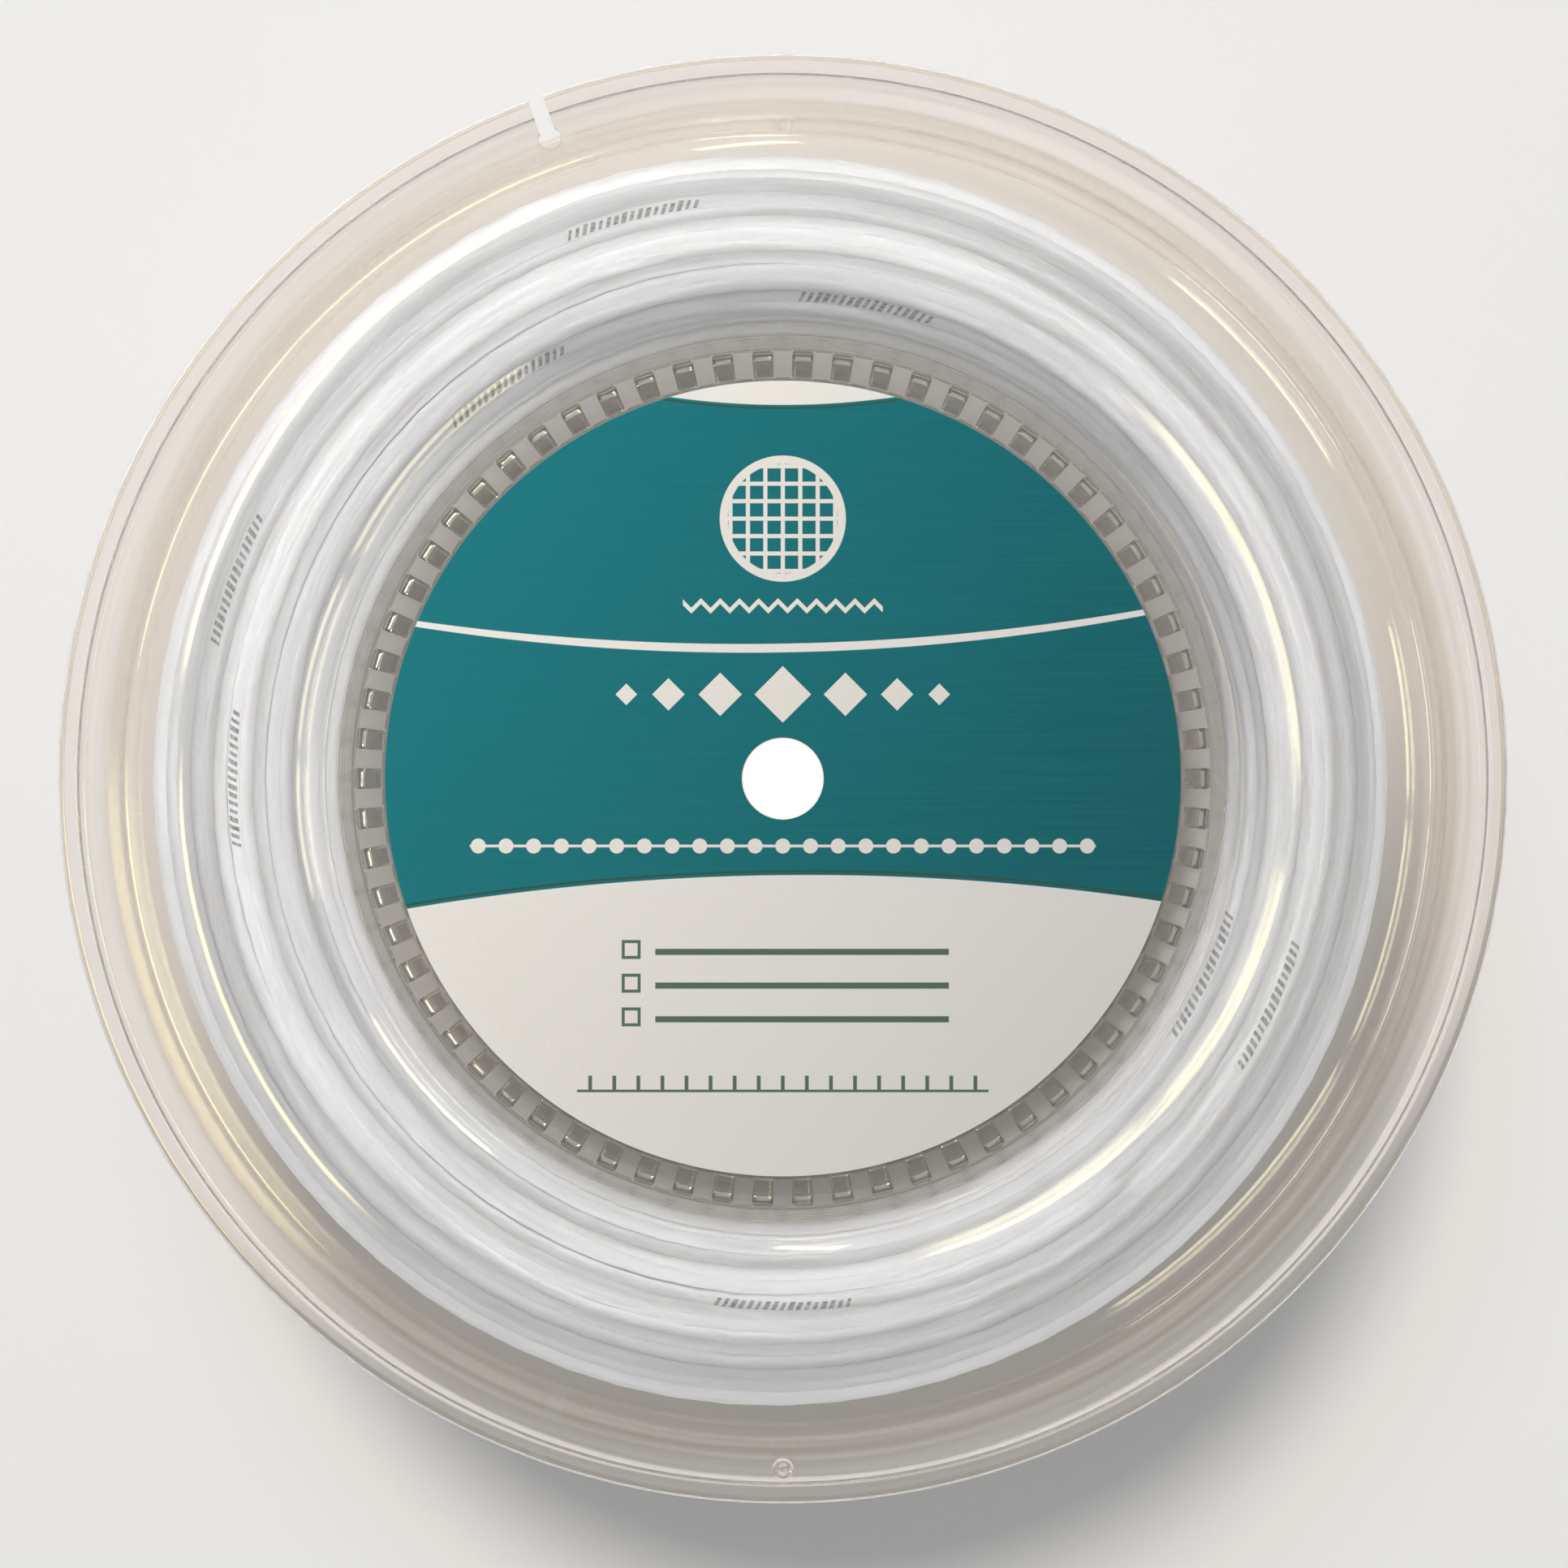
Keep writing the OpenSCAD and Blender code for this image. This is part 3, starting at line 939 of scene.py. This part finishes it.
def make_winding():
    pts, marks, pitch = winding_path()
    r, a, z = uneven(pts, marks)
    # the outer end is tucked under the last turns
    k = 14
    tail_a = a[-1] + 5.0 * np.arange(1, k + 1)
    f = np.arange(1, k + 1) / k
    tail_r = r[-1] - 1.15 * f * f * (3 - 2 * f)
    tail_z = z[-1] + np.where(z[-1] > REEL_W / 2, -1, 1) * 0.9 * f
    r, a, z = np.concatenate([r, tail_r]), np.concatenate([a, tail_a]), np.concatenate([z, tail_z])
    rad = np.radians(a)
    xyz = np.stack([r * np.cos(rad), r * np.sin(rad), z], axis=1)
    sides = 8
    tangent = np.gradient(xyz, axis=0)
    tangent /= np.linalg.norm(tangent, axis=1)[:, None]
    out = np.stack([np.cos(rad), np.sin(rad), np.zeros_like(rad)], axis=1)
    out -= tangent * (out * tangent).sum(axis=1)[:, None]
    out /= np.linalg.norm(out, axis=1)[:, None]
    other = np.cross(tangent, out)
    ang = (np.arange(sides) + 0.5) * 2 * math.pi / sides
    ring = xyz[:, None, :] + STRING_D / 2 * (np.cos(ang)[None, :, None] * out[:, None, :] + np.sin(ang)[None, :, None] * other[:, None, :])
    dist = np.concatenate([[0], np.cumsum(np.linalg.norm(np.diff(xyz, axis=0), axis=1))]) * MM
    # printed marks, about one in every half metre; near the front flange they stand where the reel shows them
    spots = []
    for r_mark, az in SEEN_MARKS:
        score = np.abs(r - r_mark) + 8.0 * np.maximum(0, (REEL_W - drop(r_mark) - WALL - 1.12) - z)
        score += np.abs((a - az + 180) % 360 - 180) * 0.4
        spots.append(dist[int(np.argmin(score))])
    ceiling = np.array([REEL_W - drop(q) - WALL for q in r])

    def hidden(at_):
        i = int(np.searchsorted(dist, at_))
        near_ = slice(max(0, i - 3), i + 4)
        return bool((z[near_] < ceiling[near_] - 5.0).all())

    gap, at = 0.49, 0.2
    while at < dist[-1] - 0.4:
        tries = [at + 0.03 * k for k in range(9)]
        tries = [t for t in tries if hidden(t) and min(abs(t - s_) for s_ in spots[:len(SEEN_MARKS)]) > 0.3]
        spots += tries[:1]
        at += gap
    spots = np.sort(np.array(spots))
    near = np.clip(np.searchsorted(spots, dist), 1, len(spots) - 1)
    lower, upper = dist - spots[near - 1], dist - spots[near]
    off = np.clip(np.where(np.abs(lower) < np.abs(upper), lower, upper), -0.02, 0.02)
    wobble = 0.05 * np.sin(np.arange(len(dist)) * 0.002)
    side = np.where(z > REEL_W / 2, 0.6875, 0.1875) + wobble
    cuts = [0, marks[4], marks[7], marks[10], marks[12], len(xyz) - 1]
    names = ["string_turns_a", "string_turns_b", "string_turns_c", "string_turns_d", "string_turns_e"]
    made = []
    for name, i0, i1 in zip(names, cuts, cuts[1:]):
        part = ring[i0:i1 + 1].reshape(-1, 3) * MM
        n = i1 - i0 + 1
        i = np.arange(n - 1)[:, None]
        kk = np.arange(sides)[None, :]
        qa = i * sides + kk
        qb = i * sides + (kk + 1) % sides
        quads = np.stack([qa, qb, qb + sides, qa + sides], axis=-1).reshape(-1, 4)
        me = quad_mesh(name, part, quads, dist[i0:i1 + 1], sides, (off[i0:i1 + 1], side[i0:i1 + 1]))
        if i1 == len(xyz) - 1:
            bm = bmesh.new()
            bm.from_mesh(me)
            bm.verts.ensure_lookup_table()
            bm.faces.new([bm.verts[(n - 1) * sides + s] for s in range(sides)])
            bm.to_mesh(me)
            bm.free()
        obj = new_object(name, me, MATS["string"])
        made.append(obj)
    return made, dist[-1], pitch


turns, wound_m, turn_pitch = make_winding()
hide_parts("string_winding")
for o in turns:
    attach(o, "core")


def make_inner_end():
    """The string's start: from the first turn in through the core's hole to an overhand stopper knot and a short tail."""
    cx = CORE_IN - 2.55
    pts = [(CORE_R + 0.55, 1.4, HOLE_Z - 0.2), (CORE_R + 0.35, 0.6, HOLE_Z - 0.05), (CORE_R - 0.2, 0.12, HOLE_Z), (CORE_IN, 0, HOLE_Z)]
    # a tight trefoil stands for the pulled overhand knot
    s = 0.62
    for i in range(40):
        t = math.radians(-60 + 300 * i / 39)
        x = (math.sin(t) + 2 * math.sin(2 * t)) * s * 0.52
        y = (math.cos(t) - 2 * math.cos(2 * t)) * s * 0.52
        w = -math.sin(3 * t) * s * 0.55
        pts.append((cx + w, y, HOLE_Z + x))
    pts += [(cx - 0.6, 0.1, HOLE_Z - 1.9), (cx - 0.9, 0.0, HOLE_Z - 2.7), (cx - 0.9, 0.0, HOLE_Z - 3.3)]
    p = np.array(pts)
    # smooth the joins
    for _ in range(6):
        q = p.copy()
        q[1:-1] = (p[:-2] + 2 * p[1:-1] + p[2:]) / 4
        p = q
    verts, quads, dist = tube("end", p, STRING_D / 2, 12)
    me = quad_mesh("string_start", verts, quads, dist, 12)
    bm = bmesh.new()
    bm.from_mesh(me)
    bm.verts.ensure_lookup_table()
    n = len(p)
    bm.faces.new([bm.verts[(n - 1) * 12 + s_] for s_ in range(12)])
    bm.faces.new([bm.verts[s_] for s_ in reversed(range(12))])
    bm.to_mesh(me)
    bm.free()
    obj = new_object("string_start_knot", me, MATS["string"])
    return obj


inner_end = make_inner_end()
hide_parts("string_inner_end")
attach(inner_end, "core")

# ---------------------------------------------------------------- label


def make_label():
    z0, z1 = label_lo[2] + 0.03, label_hi[2]
    r1, b = LABEL_R, BORE_R + 0.1
    loop = [(b, z0), (b, z1 - 0.03), (b + 0.03, z1)] + [(r, z1) for r in (8.0, 16.0, 24.0, 30.0)]
    loop += [(r1 - 0.04, z1), (r1, z1 - 0.04), (r1, z0)]
    loop += [(r, z0) for r in (24.0, 12.0)]
    me = lathe(loop, 256)
    obj = new_object("label_sheet", me, MATS["label"])
    bm = bmesh.new()
    bm.from_mesh(me)
    bmesh.ops.recalc_face_normals(bm, faces=bm.faces)
    bm.to_mesh(me)
    bm.free()
    return finish_mesh(obj, 25)


label = make_label()
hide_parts("front_label")
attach(label, "front")

# ---------------------------------------------------------------- floor, light


def make_floor():
    bm = bmesh.new()
    s = 4.0
    vs = [bm.verts.new((x, y, -0.0001)) for x, y in ((-s, -s), (s, -s), (s, s), (-s, s))]
    bm.faces.new(vs)
    me = bpy.data.meshes.new("floor")
    bm.to_mesh(me)
    bm.free()
    obj = new_object("floor", me, floor_material())
    return obj


floor = make_floor()


def make_backdrop():
    """A round, curved backdrop far from the reel. It is seen by the camera only, so it changes none of the light."""
    loop = [(2300.0, -1.0)] + [(2300.0 + 900.0 * sin(a), 899.0 - 900.0 * cos(a)) for a in range(6, 91, 6)] + [(3200.0, 1500.0)]
    me = lathe(loop, 96, closed=False)
    obj = new_object("backdrop", me, backdrop_material())
    me.shade_smooth()
    obj.visible_diffuse = obj.visible_glossy = obj.visible_transmission = obj.visible_shadow = False
    return obj


make_backdrop()


def strip_lamp(az0, zen0, az1, zen1, width, radiance, colour, height=1.2):
    """A long lamp overhead, from one direction to another as seen from the reel."""
    ends = [Vector((height * math.tan(math.radians(z)) * cos(a), height * math.tan(math.radians(z)) * sin(a), height))
            for a, z in ((az0, zen0), (az1, zen1))]
    mid, along = (ends[0] + ends[1]) / 2, ends[1] - ends[0]
    light = bpy.data.lights.new("strip", "AREA")
    light.shape, light.size, light.size_y = "RECTANGLE", along.length, width
    light.energy = radiance * math.pi * along.length * width
    light.color = colour
    obj = bpy.data.objects.new("strip", light)
    bpy.context.scene.collection.objects.link(obj)
    zax = mid.normalized()
    xax = (along - zax * along.dot(zax)).normalized()
    yax = zax.cross(xax)
    obj.matrix_world = Matrix((xax, yax, zax)).transposed().to_4x4()
    obj.location = mid
    obj.visible_diffuse = False         # it makes the long highlights only; the key and the sky give the light
    return obj


WARM, PALE = (1.0, 0.88, 0.42), (1.0, 0.90, 0.60)
L = 10.0
# left row
strip_lamp(108, 32, 136, 28, 0.10, L, WARM)
strip_lamp(138, 27, 169, 22.5, 0.10, L, WARM)
strip_lamp(181, 16.5, 224, 16, 0.085, L, WARM)
# right row
strip_lamp(302, 41, 332, 43, 0.10, L, PALE)
strip_lamp(336, 43.5, 356, 43, 0.10, L, PALE)
strip_lamp(358, 43, 14, 43.5, 0.10, L, PALE)
strip_lamp(30, 52, 52, 53, 0.12, L, PALE)
# a short one beyond the top
strip_lamp(90, 58, 97, 55, 0.12, L, PALE)


def soft_box(name, location, size, radiance, colour, seen=True, at=(0, 0, 0), parent=None):
    light = bpy.data.lights.new(name, "AREA")
    light.shape, light.size = "DISK", size
    light.energy = radiance * math.pi * (math.pi * size * size / 4)
    light.color = colour
    obj = bpy.data.objects.new(name, light)
    bpy.context.scene.collection.objects.link(obj)
    obj.location = location
    obj.rotation_euler = (Vector(at) - Vector(location)).to_track_quat("-Z", "Y").to_euler()
    if not seen:
        obj.visible_camera = obj.visible_glossy = obj.visible_transmission = False
    if parent:
        obj.parent = frame["bodies"][parent]
    return obj


def lit_by(lamp, *objects):
    lit = bpy.data.collections.new("lit_by_" + lamp.name)
    for o in objects:
        lit.objects.link(o)
    lamp.light_linking.receiver_collection = lit


KEY, KEY_COLOUR = (-0.120, 0.285, 0.295), (1.0, 0.988, 0.975)
lit_by(soft_box("key", KEY, 0.20, 12.6, KEY_COLOUR, seen=False, at=(0, 0, 0.03)), front, rear, label)
# the string's layers are lit more weakly towards the outside, where they face the lamp, and the first ones from another side
lit_by(soft_box("key_b", KEY, 0.20, 11.6, KEY_COLOUR, seen=False, at=(0, 0, 0.03)), turns[1])
lit_by(soft_box("key_c", KEY, 0.20, 14.8, KEY_COLOUR, seen=False, at=(0, 0, 0.03)), turns[2])
lit_by(soft_box("key_d", KEY, 0.20, 9.8, KEY_COLOUR, seen=False, at=(0, 0, 0.03)), turns[3])
lit_by(soft_box("key_e", KEY, 0.20, 4.4, KEY_COLOUR, seen=False, at=(0, 0, 0.03)), turns[4])
lit_by(soft_box("key_a", (0.113, 0.310, 0.280), 0.20, 8.2, KEY_COLOUR, seen=False, at=(0, 0, 0.03)), turns[0], inner_end)
lit_by(soft_box("key_core", (-0.165, -0.286, 0.280), 0.20, 11.5, KEY_COLOUR, seen=False, at=(0, 0, 0.03)), core)
# the floor has its own lamp, high and far, so that it stays evenly pale
lit_by(soft_box("floor_lamp", (-0.23, 0.84, 1.5), 0.42, 44.0, (1.0, 0.99, 0.975), seen=False), floor)

# light under the label, for the hub that the opaque label would leave dark
soft_box("hub_fill", (0, 0, 0.0370), 0.052, 0.34, (1.0, 0.985, 0.965), seen=False, parent="front")
spot = bpy.data.lights.new("bore_fill", "SPOT")
spot.energy, spot.spot_size, spot.spot_blend, spot.shadow_soft_size = 0.06, math.radians(38), 0.5, 0.002
spot_obj = bpy.data.objects.new("bore_fill", spot)
bpy.context.scene.collection.objects.link(spot_obj)
spot_obj.location = (0, 0, 0.0368)
spot_obj.visible_camera = spot_obj.visible_glossy = spot_obj.visible_transmission = False
spot_obj.parent = frame["bodies"]["front"]

world = bpy.data.worlds.new("studio")
bpy.context.scene.world = world
world.use_nodes = True
bg = world.node_tree.nodes.get("Background") or world.node_tree.nodes.new("ShaderNodeBackground")
bg.inputs[0].default_value = (0.97, 0.98, 1.0, 1.0)
bg.inputs[1].default_value = 0.40

scene = bpy.context.scene
scene.view_settings.view_transform = "Standard"
scene.view_settings.look = "None"
scene.view_settings.exposure = 0.0
scene.view_settings.gamma = 1.0
scene.cycles.max_bounces = 11
scene.cycles.transmission_bounces = 10
scene.cycles.transparent_max_bounces = 24
scene.cycles.diffuse_bounces = 3
scene.cycles.glossy_bounces = 4
scene.cycles.caustics_reflective = False
scene.cycles.caustics_refractive = False
scene.cycles.blur_glossy = 0.0
scene.cycles.sample_clamp_indirect = 0.0
